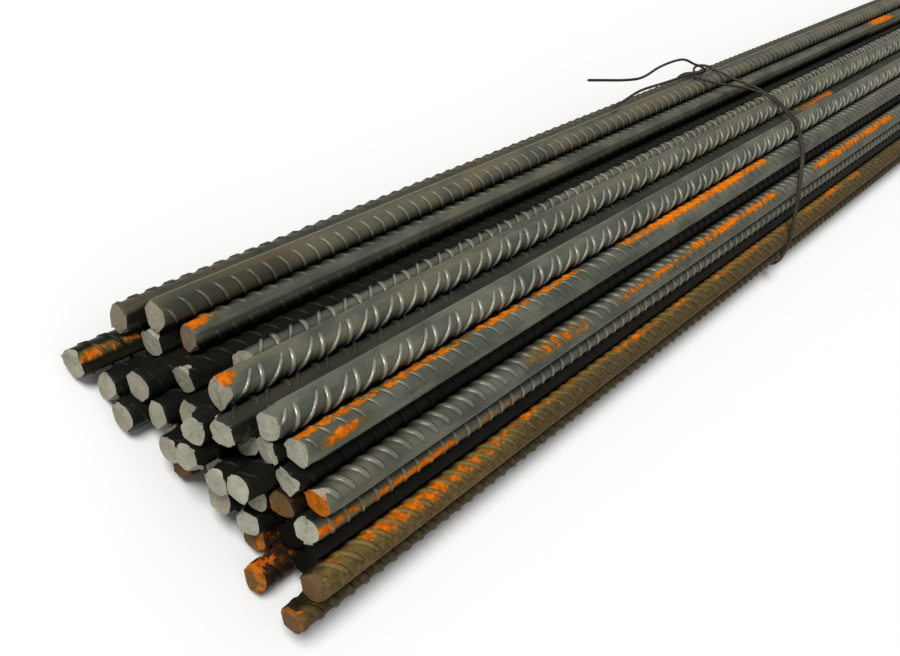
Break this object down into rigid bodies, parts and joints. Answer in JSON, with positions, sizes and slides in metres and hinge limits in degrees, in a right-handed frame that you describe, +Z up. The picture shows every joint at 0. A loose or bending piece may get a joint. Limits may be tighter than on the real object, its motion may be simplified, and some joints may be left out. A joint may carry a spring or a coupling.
{
  "type": "rebar bundle",
  "caption": "Bundle of ribbed steel reinforcing bars with sheared, staggered ends, bound with soft iron wire ties and lying on the floor.",
  "frame": {"origin": "on the floor, under the middle of the box of bars, ties and tails", "axes": "+X along the bars from the pictured uneven ends towards the far ends, +Z up from the floor, +Y towards the side with the wire knots"},
  "size_m": [3.0406, 0.1565, 0.0702],
  "materials": {
    "bar": "dark mill scale with worn ribs and light rust, matt",
    "rusty_bar": "brown and orange rust, matt",
    "wire": "dark annealed wire, matt"
  },
  "bodies": {
    "root": {"bar_01": "bar", "bar_02": "bar", "bar_03": "bar", "bar_04": "bar", "bar_05": "rusty_bar", "bar_06": "bar", "bar_07": "bar", "bar_08": "rusty_bar", "bar_09": "rusty_bar", "bar_10": "bar", "bar_11": "bar", "bar_12": "bar", "bar_13": "bar", "bar_14": "bar", "bar_15": "bar", "bar_16": "bar", "bar_17": "bar", "bar_18": "bar", "bar_19": "bar", "bar_20": "bar", "bar_21": "rusty_bar", "bar_22": "bar", "bar_23": "bar", "bar_24": "bar", "bar_25": "bar", "bar_26": "bar", "bar_27": "bar", "bar_28": "bar", "bar_29": "bar", "bar_30": "bar", "bar_31": "rusty_bar", "bar_32": "bar", "bar_33": "bar", "bar_34": "bar", "bar_35": "bar", "bar_36": "bar", "bar_37": "bar", "bar_38": "bar", "bar_39": "bar", "bar_40": "bar", "bar_41": "bar", "bar_42": "bar", "bar_43": "bar", "bar_44": "bar", "tie_near": "wire", "tie_far": "wire"}
  },
  "joints": []
}
